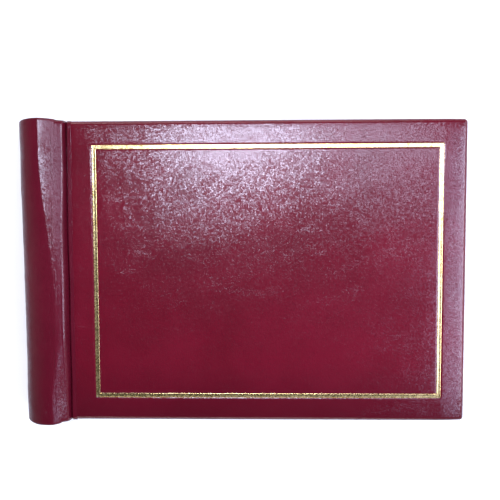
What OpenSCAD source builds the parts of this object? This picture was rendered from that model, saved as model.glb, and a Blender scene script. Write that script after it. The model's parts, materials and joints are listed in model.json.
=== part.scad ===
/* [Covers] */
// Length of one cover, from its hinge side to the fore-edge
cover_l = 216.5; // [180:0.5:260]
// Height of the covers, from tail to head
cover_h = 165; // [150:1:200]
// Thickness of one padded cover
cover_t = 6.5; // [6:0.1:8]
// Thickness of the stiff board inside a cover
board_t = 2; // [1.5:0.1:2.5]
// How far the board's edge lies inside the cover's edge
board_inset = 1.8; // [1.5:0.1:3]
// Radius of a cover's padded edge
edge_r = 5.5; // [5:0.1:6]
// Thickness of the leather wrap
wrap_t = 0.8; // [0.6:0.1:1]
// Width of the wrap folded over onto the inside of a cover
turn_in = 14; // [8:1:20]
// Thickness of the lining paper
lining_t = 0.3; // [0.2:0.1:0.5]
// Margin between the lining and the cover's edge
lining_margin = 4; // [3:0.5:8]

/* [Gold border] */
// Length of the gold rectangle
border_l = 189.4; // [150:1:200]
// Height of the gold rectangle
border_h = 138.4; // [120:0.2:145]
// Width of the gold line
border_w = 2.2; // [1.5:0.1:4]
// Thickness of the foil
foil_t = 0.08; // [0.05:0.01:0.2]
// Radius of the foil rectangle's outer corners
foil_corner_r = 0.8; // [0.5:0.1:2]

/* [Spine] */
// Radius of the spine's roll
roll_r = 12.5; // [12:0.1:14]
// Height of the spine's roll
roll_t = 31; // [30:0.5:34]
// How far the spine's roll stands above the front cover
spine_stand = 7; // [6.8:0.1:7.2]
// How far the spine passes the covers at head and at tail
spine_overhang = 0.75; // [0:0.05:2]
// Depth of the padding behind the spine board, with the wrap
spine_pad_depth = 7.6; // [7:0.1:8]
// Thickness of the spine board
spine_board_t = 1.6; // [1.2:0.1:2]
// Gap between the spine board's ends and the roll's inner face
spine_board_gap = 1; // [0.8:0.1:2]
// Thickness of the roll's wall, wrap and padding together
roll_wall = 2.1; // [1.8:0.1:2.4]
// Gap between the roll and the covers, the hinge crease
crease_gap = 1.5; // [1.2:0.1:2.5]
// Height of the front crease above the rest surface
front_crease_z = 22.6; // [22:0.1:23]
// Thickness of the cloth strip in the front crease
hinge_cloth_t = 0.6; // [0.4:0.1:0.8]
// How far the cloth strip reaches past the roll
hinge_cloth_reach = 1.8; // [1:0.1:2]
// How far the flat tail of the wrap reaches past the roll, under the leaves
wrap_tail_reach = 2.2; // [1:0.1:2.4]

/* [Rings] */
// Distance between the two rings
ring_pitch = 80; // [60:1:100]
// Radius of a ring, at the wire's centre
ring_r = 8; // [7.8:0.1:8.2]
// Diameter of the ring wire
wire_d = 2; // [1.6:0.1:2.2]
// Height of the ring centres above the rest surface
ring_z = 12.4; // [12:0.1:12.8]
// Distance from the spine lining to the ring centres
ring_reach = 8.8; // [8.6:0.1:9]
// Gap between the two ends of a closed ring
ring_tip_gap = 0.1; // [0.05:0.05:0.3]

/* [Ring mechanism] */
// Length of the arched cover plate
plate_l = 118; // [110:1:140]
// Rise of the arched cover plate
plate_rise = 3.8; // [3.6:0.1:4.2]
// Outer radius of the plate's arch
plate_r = 9.5; // [9:0.1:10]
// Thickness of the plate's steel
plate_t = 0.8; // [0.6:0.1:0.9]
// Thickness of a blade
blade_t = 0.8; // [0.6:0.1:0.9]
// Width of a blade, from its outer edge to the middle
blade_w = 4.3; // [4:0.1:4.5]
// Height of the blades' outer edges above the lining
blade_lift = 1.2; // [1.1:0.1:1.4]
// Tilt of a closed blade
blade_tilt = 3; // [2:0.5:4]
// Clearance between moving pieces of the mechanism
play = 0.2; // [0.1:0.05:0.3]
// Distance from the plate's middle to its ring slots
ring_slot_in = 1.9; // [1.7:0.1:2.1]
// Height of the trigger slots' lower edges above the blades' edges
trigger_slot_lift = 0.9; // [0.8:0.1:1]
// How far the trigger slots run past the trigger pins
trigger_slot_lead = 1.5; // [1.4:0.1:2]
// Distance between the two rivets
rivet_pitch = 50; // [40:1:60]
// Diameter of a rivet's shank
rivet_d = 3; // [2:0.1:3.5]
// Diameter of a rivet's head
rivet_head_d = 5.6; // [4.5:0.1:6]
// Depth of a rivet dome's centre, as a share of the head's radius
rivet_dome_sink = 0.8; // [0.6:0.1:1]
// Width of a trigger lever
trigger_w = 6; // [5:0.5:7]
// Length of a trigger lever past its pin
trigger_l = 13; // [10:0.5:16]
// Thickness of a trigger lever
trigger_t = 1; // [0.8:0.1:1.2]
// Angle of a trigger lever above the spine board
trigger_rise = 26; // [20:1:30]
// Diameter of a trigger's pin
pin_d = 1.2; // [1:0.1:1.4]
// Height of the trigger pins above the blades' edges
pin_lift = 0.5; // [0.4:0.1:0.6]
// Distance from the plate's ends to the trigger pins
pin_margin = 3; // [2.5:0.5:4]
// Wall of a trigger lever's eye
eye_wall = 0.6; // [0.5:0.1:0.7]
// Radius of a trigger lever's curled lip
curl_r = 2.2; // [1.8:0.1:2.4]

/* [Leaves] */
// Number of black stock leaves
stock_count = 5; // [5:1:5]
// Height of a leaf, from tail to head
leaf_h = 152; // [130:1:160]
// Distance between the leaves' fore-edge and the covers' fore-edge
leaf_inset = 4; // [3:0.5:8]
// Thickness of a stock leaf's card
card_t = 0.6; // [0.4:0.05:0.7]
// Thickness of the clear strips on each face of a stock leaf
strip_t = 0.4; // [0.2:0.05:0.45]
// Thickness of an interleaf
interleaf_t = 0.2; // [0.1:0.05:0.3]
// Thickness of the title page and of the back sheet
page_t = 0.4; // [0.3:0.05:0.5]
// Radius of a leaf's corners
leaf_corner_r = 3; // [1:0.5:6]
// Distance from the spine's outer face to the leaves' score line
score_u = 34; // [32:0.5:38]
// Half the width of the score line
score_gap = 0.15; // [0.1:0.05:0.3]
// Distance from a leaf's holes to its bound edge
bound_margin = 7; // [5:0.5:8]
// Radius of a leaf's holes
hole_r = 3.2; // [3:0.1:3.5]
// How far the holes lie outward of the wire
hole_bias = 0.6; // [0.3:0.1:0.9]
// Number of clear strips on each face of a stock leaf
strip_rows = 5; // [3:1:6]
// Gap between two rows of clear strips
strip_gap = 3; // [2:0.5:6]
// Margin between the clear strips and the leaf's edges
strip_margin = 6; // [4:0.5:10]

/* [Hidden] */
$fn = 96;

leather_color = "#6d1226";
foam_color = "#d8d2c4";
card_color = "#8c8578";
lining_color = "#3a1018";
steel_color = "#c9ccd1";
stock_color = "#17171a";
film_color = "#cfdbe4";
glassine_color = "#ece9dc";
paper_color = "#f3efe2";

// Distances named u run from the spine's outer face towards the fore-edge
total_l = 2 * roll_r + crease_gap + cover_l;
cover_u = 2 * roll_r + crease_gap;
front_top_z = roll_t - spine_stand;
stack_bottom = cover_t;
stack_top = front_top_z - cover_t;
spine_l = cover_h + 2 * spine_overhang;
past = 1;

// Layers of a cover, measured from its outer face
lining_z = cover_t - lining_t;
fold_z = lining_z - wrap_t;
board_z = fold_z - board_t;

// Layers of the spine, measured from its outer face
spine_board_u = spine_pad_depth;
spine_lining_u = spine_board_u + spine_board_t;
base_u = spine_lining_u + lining_t;
roll_inner_r = roll_r - roll_wall;
floor_z = wrap_t + lining_t;
lip_z = front_crease_z + hinge_cloth_t / 2;
lip_u = 2 * roll_r + wrap_tail_reach;

// The stack of leaves, from the top down
stock_t = card_t + 2 * strip_t;
sheet_count = 2 * stock_count + 1;
sheet_sum = 2 * page_t + stock_count * stock_t + (stock_count - 1) * interleaf_t;
sheet_gap = (stack_top - stack_bottom - sheet_sum) / (sheet_count + 1);
pair_step = stock_t + interleaf_t + 2 * sheet_gap;
title_z = stack_top - sheet_gap - page_t / 2;
function stock_z(i) = stack_top - 2 * sheet_gap - page_t - stock_t / 2 - (i - 1) * pair_step;
function interleaf_z(i) = stock_z(i) - stock_t / 2 - sheet_gap - interleaf_t / 2;
back_sheet_z = stack_bottom + sheet_gap + page_t / 2;

// Ring centre and blades
ring_u = base_u + ring_reach;
wire_r = wire_d / 2;
function hole_u(z) = ring_u + sqrt(ring_r * ring_r - (z - ring_z) * (z - ring_z)) + hole_bias;
trigger_pin_y = plate_l / 2 - pin_margin;
blade_l = plate_l - 2 * (pin_margin + pin_d + trigger_slot_lead);
trigger_pin_h = blade_lift + pin_lift;

// Shared shapes -----------------------------------------------------------

// A cover's section, its outer face along y = 0 and both outer edges round
module pad_section(width, inset, top) {
    round_r = edge_r - inset;
    intersection() {
        union() {
            translate([edge_r, edge_r]) circle(round_r);
            translate([width - edge_r, edge_r]) circle(round_r);
            translate([edge_r, inset]) square([width - 2 * edge_r, cover_t]);
            translate([inset, edge_r]) square([width - 2 * inset, cover_t]);
        }
        square([width, top]);
    }
}

// A padded block: the same section along both directions, up to height top
module pad_block(inset, top) {
    intersection() {
        rotate([90, 0, 0])
            linear_extrude(height = cover_h, center = true)
                pad_section(cover_l, inset, top);
        translate([0, -cover_h / 2, 0])
            rotate([90, 0, 90])
                linear_extrude(height = cover_l)
                    pad_section(cover_h, inset, top);
    }
}

// A plate centred on a cover, inset from its edges
module cover_plate(inset, z0, z1) {
    translate([inset, inset - cover_h / 2, z0])
        cube([cover_l - 2 * inset, cover_h - 2 * inset, z1 - z0]);
}

module cover_leather() {
    difference() {
        pad_block(0, lining_z);
        pad_block(wrap_t, fold_z);
        cover_plate(turn_in, fold_z - past, lining_z + past);
    }
}

module cover_padding() {
    difference() {
        pad_block(wrap_t, fold_z);
        cover_plate(board_inset, board_z, fold_z + past);
    }
}

module cover_board() {
    cover_plate(board_inset, board_z, fold_z);
}

module cover_lining() {
    cover_plate(lining_margin, lining_z, cover_t);
    cover_plate(turn_in, fold_z, lining_z);
}

module at_back() {
    translate([cover_u - total_l / 2, 0, 0]) children();
}

module at_front() {
    translate([cover_u - total_l / 2, 0, front_top_z]) mirror([0, 0, 1]) children();
}

// A flat rectangle with round corners, from x0 to x1 and centred on Y
module round_sheet(x0, x1, height, r) {
    translate([x0 + r, r - height / 2]) square([x1 - x0 - 2 * r, height - 2 * r]);
    translate([x0, r - height / 2]) square([x1 - x0, height - 2 * r]);
    translate([x0 + r, -height / 2]) square([x1 - x0 - 2 * r, height]);
    for (x = [x0 + r, x1 - r], y = [r - height / 2, height / 2 - r])
        translate([x, y]) circle(r, $fn = 32);
}

// Covers ------------------------------------------------------------------

module back_board() { color(card_color) at_back() cover_board(); }
module back_padding() { color(foam_color) at_back() cover_padding(); }
module back_leather() { color(leather_color) at_back() cover_leather(); }
module back_lining() { color(lining_color) at_back() cover_lining(); }
module front_board() { color(card_color) at_front() cover_board(); }
module front_padding() { color(foam_color) at_front() cover_padding(); }
module front_leather() { color(leather_color) at_front() cover_leather(); }
module front_lining() { color(lining_color) at_front() cover_lining(); }

module gold_border() {
    border_x = cover_u + cover_l / 2 - total_l / 2;
    color("gold")
        translate([border_x, 0, front_top_z])
            linear_extrude(height = foil_t)
                difference() {
                    round_sheet(-border_l / 2, border_l / 2, border_h, foil_corner_r);
                    translate([border_w - border_l / 2, border_w - border_h / 2])
                        square([border_l - 2 * border_w, border_h - 2 * border_w]);
                }
}

// Spine -------------------------------------------------------------------

// The roll's outline with its tail of wrap running flat to the back cover
module roll_section(inset) {
    for (z = [roll_r, roll_t - roll_r])
        translate([roll_r, z]) circle(roll_r - inset);
    translate([inset, roll_r]) square([2 * (roll_r - inset), roll_t - 2 * roll_r]);
    translate([roll_r, inset]) square([lip_u - roll_r, floor_z]);
}

// The open channel inside the roll, which holds the ring mechanism
module channel_section(inset) {
    r = roll_inner_r - inset;
    intersection() {
        union() {
            for (z = [roll_r, roll_t - roll_r])
                translate([roll_r, z]) circle(r);
            translate([roll_r - r, roll_r]) square([2 * r, roll_t - 2 * roll_r]);
        }
        translate([spine_lining_u + inset, 0]) square([2 * roll_r, roll_t]);
    }
    translate([roll_r, floor_z + inset]) square([2 * roll_r, lip_z - floor_z - inset]);
}

module along_spine(length) {
    translate([-total_l / 2, 0, 0])
        rotate([90, 0, 0])
            linear_extrude(height = length, center = true) children();
}

// The spine's plan, whose head and tail bow out
module bowed_ends(inset) {
    translate([roll_r - total_l / 2, 0, -past])
        cylinder(h = roll_t + 2 * past, r = spine_l / 2 - inset, $fn = 360);
}

module rivet_holes(d) {
    for (y = [-rivet_pitch / 2, rivet_pitch / 2])
        translate([-total_l / 2, y, ring_z])
            rotate([0, 90, 0]) cylinder(h = ring_u, d = d, $fn = 32);
}

module spine_board_block() {
    half = sqrt(roll_inner_r * roll_inner_r - pow(roll_r - spine_board_u, 2)) - spine_board_gap;
    low = roll_r - half;
    high = roll_t - roll_r + half;
    translate([spine_board_u - total_l / 2, wrap_t + spine_board_gap - cover_h / 2, low])
        cube([spine_board_t, cover_h - 2 * (wrap_t + spine_board_gap), high - low]);
}

module spine_board() {
    color(card_color)
        difference() {
            spine_board_block();
            rivet_holes(rivet_d);
        }
}

module spine_padding() {
    color(foam_color)
        difference() {
            intersection() {
                along_spine(2 * spine_l) roll_section(wrap_t);
                bowed_ends(wrap_t);
            }
            along_spine(2 * spine_l) channel_section(0);
            spine_board_block();
        }
}

module spine_leather() {
    color(leather_color)
        difference() {
            intersection() {
                along_spine(2 * spine_l) roll_section(0);
                bowed_ends(0);
            }
            intersection() {
                along_spine(2 * spine_l) roll_section(wrap_t);
                bowed_ends(wrap_t);
            }
            along_spine(2 * spine_l) channel_section(0);
        }
}

module spine_lining() {
    color(lining_color)
        difference() {
            along_spine(cover_h - 2 * lining_margin)
                intersection() {
                    difference() {
                        channel_section(0);
                        channel_section(lining_t);
                    }
                    square([lip_u, roll_t]);
                }
            rivet_holes(rivet_d);
        }
}

module front_hinge_cloth() {
    inner_u = roll_r + sqrt(roll_inner_r * roll_inner_r - pow(lip_z - roll_t + roll_r, 2));
    color(lining_color)
        translate([inner_u - total_l / 2, -cover_h / 2, lip_z - hinge_cloth_t])
            cube([2 * roll_r + hinge_cloth_reach - inner_u, cover_h, hinge_cloth_t]);
}

// Ring mechanism ----------------------------------------------------------

// Stands a shape on the spine's lining: x is the height, z is across the plate
module on_spine() {
    translate([base_u - total_l / 2, 0, ring_z]) children();
}

module arch_section(r) {
    intersection() {
        translate([plate_rise - plate_r, 0]) circle(r);
        translate([0, -plate_r]) square([plate_rise + past, 2 * plate_r]);
    }
}

// The two trigger pins, or the holes in the plate's walls that hold them
module pin_rods(half) {
    for (side = [-1, 1])
        translate([trigger_pin_h, side * trigger_pin_y, 0])
            cylinder(h = 2 * half, d = pin_d, center = true, $fn = 32);
}

module mechanism_plate() {
    slot_start = trigger_pin_y - trigger_slot_lead;
    color(steel_color) on_spine()
        difference() {
            rotate([90, 0, 0])
                linear_extrude(height = plate_l, center = true)
                    difference() {
                        arch_section(plate_r);
                        arch_section(plate_r - plate_t);
                    }
            for (y = [-ring_pitch / 2, ring_pitch / 2], side = [-1, 1])
                translate([-past, y - wire_r - 2 * play, side > 0 ? ring_slot_in : -plate_r])
                    cube([plate_rise + 2 * past, wire_d + 4 * play, plate_r - ring_slot_in]);
            for (y = [-rivet_pitch / 2, rivet_pitch / 2])
                translate([0, y, 0]) rotate([0, 90, 0]) cylinder(h = 2 * plate_rise, d = rivet_d, $fn = 32);
            for (side = [-1, 1])
                translate([blade_lift + trigger_slot_lift, side > 0 ? slot_start : -plate_l / 2 - past,
                           -trigger_w / 2 - play])
                    cube([plate_rise, plate_l / 2 + past - slot_start, trigger_w + 2 * play]);
            pin_rods(plate_r);
        }
}

module rivets() {
    shank = base_u - spine_board_u;
    head_r = rivet_head_d / 2;
    sink = rivet_dome_sink * head_r;
    color(steel_color) on_spine()
        for (y = [-rivet_pitch / 2, rivet_pitch / 2])
            translate([0, y, 0]) rotate([0, 90, 0]) {
                translate([0, 0, -shank]) cylinder(h = shank + plate_rise, d = rivet_d, $fn = 32);
                translate([0, 0, plate_rise])
                    intersection() {
                        translate([0, 0, -sink]) sphere(sqrt(head_r * head_r + sink * sink), $fn = 48);
                        cylinder(h = head_r, d = rivet_head_d, $fn = 48);
                    }
            }
}

// One blade, closed: it turns about its round outer edge, above or below the middle
module blade(side) {
    on_spine()
        translate([blade_lift, 0, side * (blade_w + play / 2)])
            rotate([0, side * blade_tilt, 0])
                difference() {
                    union() {
                        translate([-blade_t / 2, -blade_l / 2, side > 0 ? -blade_w : 0])
                            cube([blade_t, blade_l, blade_w]);
                        rotate([90, 0, 0])
                            cylinder(h = blade_l, d = blade_t, center = true, $fn = 32);
                    }
                    for (y = [-rivet_pitch / 2, rivet_pitch / 2])
                        translate([-blade_t, y, -side * (blade_w + play / 2)])
                            rotate([0, 90, 0])
                                cylinder(h = 2 * blade_t, d = rivet_d + 6 * play, $fn = 32);
                }
}

module upper_blade() { color(steel_color) blade(1); }
module lower_blade() { color(steel_color) blade(-1); }

// Everything on the spine's side of a blade's inner face
module below_blade(side) {
    on_spine()
        translate([blade_lift, 0, side * (blade_w + play / 2)])
            rotate([0, side * blade_tilt, 0])
                translate([blade_t / 2 - plate_r, -plate_l / 2, -2 * plate_r])
                    cube([plate_r, plate_l, 4 * plate_r]);
}

module ring_halves(side) {
    difference() {
        for (y = [-ring_pitch / 2, ring_pitch / 2])
            translate([ring_u - total_l / 2, y, ring_z])
                rotate([90, 0, 0])
                    intersection() {
                        rotate_extrude($fn = 128) translate([ring_r, 0]) circle(wire_r, $fn = 32);
                        translate([-2 * ring_r, side > 0 ? ring_tip_gap / 2 : -2 * ring_r, -wire_d])
                            cube([4 * ring_r, 2 * ring_r - ring_tip_gap / 2, 2 * wire_d]);
                    }
        below_blade(side);
    }
}

module upper_ring_halves() { color(steel_color) ring_halves(1); }
module lower_ring_halves() { color(steel_color) ring_halves(-1); }

// The pins end flush with the arch's outer face
module trigger_pins() {
    color(steel_color) on_spine()
        pin_rods(sqrt(pow(plate_r, 2) - pow(trigger_pin_h + plate_r - plate_rise, 2)));
}

// A trigger lever: its eye on the pin and its tab raised off the spine board
module trigger(side) {
    eye_r = pin_d / 2 + eye_wall;
    on_spine()
        translate([trigger_pin_h, side * trigger_pin_y, 0])
            mirror([0, side > 0 ? 0 : 1, 0])
                rotate([0, 0, -trigger_rise])
                    linear_extrude(height = trigger_w, center = true)
                        difference() {
                            union() {
                                circle(eye_r, $fn = 32);
                                translate([eye_r - trigger_t, 0]) square([trigger_t, trigger_l - curl_r]);
                                translate([eye_r - trigger_t + curl_r, trigger_l - curl_r])
                                    difference() {
                                        circle(curl_r, $fn = 48);
                                        circle(curl_r - trigger_t, $fn = 48);
                                        translate([0, -curl_r]) square([curl_r, 2 * curl_r]);
                                        translate([-curl_r, -curl_r]) square([2 * curl_r, curl_r]);
                                    }
                            }
                            circle(pin_d / 2 + play / 2, $fn = 32);
                        }
}

module head_trigger() { color(steel_color) trigger(1); }
module tail_trigger() { color(steel_color) trigger(-1); }

// Leaves ------------------------------------------------------------------

leaf_x0 = score_u + score_gap - total_l / 2;
leaf_x1 = total_l / 2 - leaf_inset;

// The turning part of a sheet, at height z
module leaf(z, t) {
    translate([0, 0, z - t / 2])
        linear_extrude(height = t)
            difference() {
                round_sheet(leaf_x0 - 2 * leaf_corner_r, leaf_x1, leaf_h, leaf_corner_r);
                translate([leaf_x0 - 3 * leaf_corner_r, -leaf_h])
                    square([3 * leaf_corner_r, 2 * leaf_h]);
            }
}

// The bound part of a sheet, threaded on the rings
module guard(z, t) {
    x0 = hole_u(z) - bound_margin - total_l / 2;
    x1 = score_u - score_gap - total_l / 2;
    translate([0, 0, z - t / 2])
        linear_extrude(height = t)
            difference() {
                round_sheet(x0, x1 + 2 * leaf_corner_r, leaf_h, leaf_corner_r);
                translate([x1, -leaf_h]) square([3 * leaf_corner_r, 2 * leaf_h]);
                for (y = [-ring_pitch / 2, ring_pitch / 2])
                    translate([hole_u(z) - total_l / 2, y]) circle(hole_r, $fn = 48);
            }
}

module clear_strips(i) {
    row_h = (leaf_h - 2 * strip_margin - (strip_rows - 1) * strip_gap) / strip_rows;
    x0 = leaf_x0 + strip_margin;
    color(film_color)
        for (side = [-1, 1], row = [0 : strip_rows - 1])
            translate([x0, strip_margin - leaf_h / 2 + row * (row_h + strip_gap),
                       stock_z(i) + (side > 0 ? card_t / 2 : -card_t / 2 - strip_t)])
                cube([leaf_x1 - strip_margin - x0, row_h, strip_t]);
}

module title_page() { color(paper_color) leaf(title_z, page_t); }
module title_guard() { color(paper_color) guard(title_z, page_t); }
module back_sheet() { color(paper_color) leaf(back_sheet_z, page_t); }
module back_sheet_guard() { color(paper_color) guard(back_sheet_z, page_t); }
module stock_leaf(i) { color(stock_color) leaf(stock_z(i), card_t); }
module stock_guard(i) { color(stock_color) guard(stock_z(i), card_t); }
module interleaf(i) { color(glassine_color) leaf(interleaf_z(i), interleaf_t); }
module interleaf_guard(i) { color(glassine_color) guard(interleaf_z(i), interleaf_t); }

back_board();
back_padding();
back_leather();
back_lining();
spine_board();
spine_padding();
spine_leather();
spine_lining();
front_board();
front_padding();
front_leather();
front_lining();
gold_border();
front_hinge_cloth();
mechanism_plate();
rivets();
trigger_pins();
upper_blade();
lower_blade();
upper_ring_halves();
lower_ring_halves();
head_trigger();
tail_trigger();
title_page();
stock_leaf(1);  // stock_leaf_1
stock_leaf(2);  // stock_leaf_2
stock_leaf(3);  // stock_leaf_3
stock_leaf(4);  // stock_leaf_4
stock_leaf(5);  // stock_leaf_5
clear_strips(1);  // clear_strips_1
clear_strips(2);  // clear_strips_2
clear_strips(3);  // clear_strips_3
clear_strips(4);  // clear_strips_4
clear_strips(5);  // clear_strips_5
interleaf(1);  // interleaf_1
interleaf(2);  // interleaf_2
interleaf(3);  // interleaf_3
interleaf(4);  // interleaf_4
back_sheet();
title_guard();
stock_guard(1);  // stock_guard_1
stock_guard(2);  // stock_guard_2
stock_guard(3);  // stock_guard_3
stock_guard(4);  // stock_guard_4
stock_guard(5);  // stock_guard_5
interleaf_guard(1);  // interleaf_guard_1
interleaf_guard(2);  // interleaf_guard_2
interleaf_guard(3);  // interleaf_guard_3
interleaf_guard(4);  // interleaf_guard_4
back_sheet_guard();
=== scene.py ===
import bpy
import json
import math
import numpy as np
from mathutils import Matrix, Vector


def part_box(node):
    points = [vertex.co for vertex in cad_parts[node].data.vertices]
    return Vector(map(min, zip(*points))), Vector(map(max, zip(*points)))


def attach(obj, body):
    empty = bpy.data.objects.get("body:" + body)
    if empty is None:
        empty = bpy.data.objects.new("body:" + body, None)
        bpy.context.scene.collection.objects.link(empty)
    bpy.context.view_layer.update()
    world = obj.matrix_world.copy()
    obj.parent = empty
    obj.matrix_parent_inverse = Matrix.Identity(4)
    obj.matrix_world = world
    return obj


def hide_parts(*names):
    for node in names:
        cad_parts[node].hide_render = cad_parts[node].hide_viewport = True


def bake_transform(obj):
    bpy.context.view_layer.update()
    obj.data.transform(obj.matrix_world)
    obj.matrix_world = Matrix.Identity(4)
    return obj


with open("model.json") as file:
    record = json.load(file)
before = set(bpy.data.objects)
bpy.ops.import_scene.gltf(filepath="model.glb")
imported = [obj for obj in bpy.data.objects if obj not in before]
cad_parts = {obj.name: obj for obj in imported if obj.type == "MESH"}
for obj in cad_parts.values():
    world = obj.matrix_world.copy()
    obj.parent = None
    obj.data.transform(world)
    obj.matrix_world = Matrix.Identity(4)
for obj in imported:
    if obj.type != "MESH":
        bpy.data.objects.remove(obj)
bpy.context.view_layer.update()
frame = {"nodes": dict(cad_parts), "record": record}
mm = 0.001
print("frame loaded")


def meshObject(name, verts, faces, smooth=True):
    # verts is an (n, 3) array in metres; faces is a list of index arrays, each (m, 3) or (m, 4)
    mesh = bpy.data.meshes.new(name)
    mesh.vertices.add(len(verts))
    mesh.vertices.foreach_set("co", np.asarray(verts, np.float32).ravel())
    corners = np.concatenate([f.ravel() for f in faces])
    counts = np.concatenate([np.full(len(f), f.shape[1]) for f in faces])
    starts = np.concatenate([[0], np.cumsum(counts)[:-1]])
    mesh.loops.add(len(corners))
    mesh.loops.foreach_set("vertex_index", corners.astype(np.int32))
    mesh.polygons.add(len(counts))
    mesh.polygons.foreach_set("loop_start", starts.astype(np.int32))
    mesh.update(calc_edges=True)
    mesh.validate()
    mesh.polygons.foreach_set("use_smooth", np.full(len(counts), smooth))
    obj = bpy.data.objects.new(name, mesh)
    bpy.context.scene.collection.objects.link(obj)
    return obj


def gridFaces(rows, cols, wrapCols=False, start=0):
    # quads between neighbouring rows and columns of a grid numbered row by row
    i = np.arange(rows - 1)[:, None]
    j = np.arange(cols if wrapCols else cols - 1)[None, :]
    k = (j + 1) % cols
    a = start + i * cols + j
    b = start + i * cols + k
    c = start + (i + 1) * cols + k
    d = start + (i + 1) * cols + j
    return np.stack([a, b, c, d], -1).reshape(-1, 4)


waveSet = {"count": 14, "shortest": 0.6, "longest": 1.9}  # lengths as shares of the scale


def waves(x, y, seed, scale):
    # smooth unevenness: a sum of sine waves of seeded direction and length, between about -1 and 1
    rng = np.random.default_rng(seed)
    total = np.zeros(np.broadcast(x, y).shape)
    for _ in range(waveSet["count"]):
        angle, phase = rng.uniform(0, 2 * math.pi, 2)
        length = scale * rng.uniform(waveSet["shortest"], waveSet["longest"])
        total += np.sin((x * math.cos(angle) + y * math.sin(angle)) * 2 * math.pi / length + phase)
    return total / math.sqrt(waveSet["count"] * 2)


def smoothStep(t):
    # 0 below 0, 1 above 1, and between them three squares less two cubes
    t = np.clip(t, 0, 1)
    return t * t * (3 - 2 * t)


def link(tree, a, b):
    tree.links.new(a, b)


def newGroup(name, inputs, outputs):
    # inputs are (label, socket type, default or None); outputs are (label, socket type)
    group = bpy.data.node_groups.new(name, "ShaderNodeTree")
    for label, kind, value in inputs:
        socket = group.interface.new_socket(name=label, in_out="INPUT", socket_type=kind)
        if value is not None:
            socket.default_value = value
    for label, kind in outputs:
        group.interface.new_socket(name=label, in_out="OUTPUT", socket_type=kind)
    return group, group.nodes.new("NodeGroupInput"), group.nodes.new("NodeGroupOutput")


def mathNode(tree, operation, *values):
    node = tree.nodes.new("ShaderNodeMath")
    node.operation = operation
    for socket, value in zip(node.inputs, values):
        if isinstance(value, (int, float)):
            socket.default_value = value
        else:
            link(tree, value, socket)
    return node.outputs[0]


def vectorNode(tree, operation, *values):
    node = tree.nodes.new("ShaderNodeVectorMath")
    node.operation = operation
    for socket, value in zip(node.inputs, values):
        if isinstance(value, tuple):
            socket.default_value = value
        else:
            link(tree, value, socket)
    return node.outputs["Value" if operation == "DOT_PRODUCT" else "Vector"]


def pointInUnits(tree, point, size):
    # the point counted in units of size, which is in mm
    node = tree.nodes.new("ShaderNodeVectorMath")
    node.operation = "SCALE"
    link(tree, point, node.inputs[0])
    link(tree, mathNode(tree, "DIVIDE", 1 / mm, size), node.inputs["Scale"])
    return node.outputs["Vector"]


def noiseNode(tree, vector, scale, detail=3.0, rough=0.55, distortion=0.0):
    node = tree.nodes.new("ShaderNodeTexNoise")
    node.inputs["Scale"].default_value = scale
    node.inputs["Detail"].default_value = detail
    node.inputs["Roughness"].default_value = rough
    node.inputs["Distortion"].default_value = distortion
    link(tree, vector, node.inputs["Vector"])
    return node.outputs["Fac"]


def rangeNode(tree, value, low, high, toLow=0.0, toHigh=1.0):
    node = tree.nodes.new("ShaderNodeMapRange")
    node.clamp = True
    for i, number in enumerate((low, high, toLow, toHigh)):
        node.inputs[i + 1].default_value = number
    link(tree, value, node.inputs[0])
    return node.outputs[0]


def mixColour(tree, mask, a, b):
    # a where the mask is 0 and b where it is 1; 6 and 7 are the Mix node's two colour sockets
    node = tree.nodes.new("ShaderNodeMix")
    node.data_type = "RGBA"
    for socket, value in ((node.inputs[0], mask), (node.inputs[6], a), (node.inputs[7], b)):
        if isinstance(value, tuple):
            socket.default_value = (*value, 1.0)
        else:
            link(tree, value, socket)
    return node.outputs[2]


def material(name, **values):
    # a material with one Principled shader, and constants set on its own sockets
    made = bpy.data.materials.new(name)
    made.use_nodes = True
    shader = made.node_tree.nodes["Principled BSDF"]
    for label, value in values.items():
        socket = shader.inputs[label.replace("_", " ")]
        socket.default_value = (*value, 1.0) if isinstance(value, tuple) else value
    return made, made.node_tree, shader


def turnedPoint(tree, point, turn, stretch):
    mapping = tree.nodes.new("ShaderNodeMapping")
    mapping.inputs["Rotation"].default_value = (0, 0, math.radians(turn))
    mapping.inputs["Scale"].default_value = stretch
    link(tree, point, mapping.inputs["Vector"])
    return mapping.outputs["Vector"]


def objectPoint(tree):
    return tree.nodes.new("ShaderNodeTexCoord").outputs["Object"]


def placeGroup(tree, group, **inputs):
    # a value of an input is a socket to link or a constant
    node = tree.nodes.new("ShaderNodeGroup")
    node.node_tree = group
    for label, value in inputs.items():
        socket = node.inputs[label.replace("_", " ")]
        if isinstance(value, bpy.types.NodeSocket):
            link(tree, value, socket)
        else:
            socket.default_value = value
    return node


grainShape = {
    "bendScale": 0.35,  # the noise that bends the rows of cells
    "bendDetail": 2.0,
    "cellScale": 0.8,
    "pitWidth": 0.13,  # reach of a pit from the cell's edge
    "plateStep": 0.12,  # how far the plates stand above the pits
    "fineScale": 1.3,
    "fineDetail": 2.0,
    "fineRough": 0.6,
    "fineHeight": 0.35,
    "wrinkleTurn": -18,  # degrees
    "wrinkleStretch": (0.45, 1.5, 1.0),
    "wrinkleScale": 0.16,
    "wrinkleDetail": 5.0,
    "wrinkleRough": 0.62,
    "wrinkleTwist": 1.2,
    "wrinkleWidth": 0.03,
    "patchScale": 0.05,  # the wrinkles lie only in some patches
    "patchDetail": 2.0,
    "patchLow": 0.48,
    "patchHigh": 0.66,
}


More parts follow.
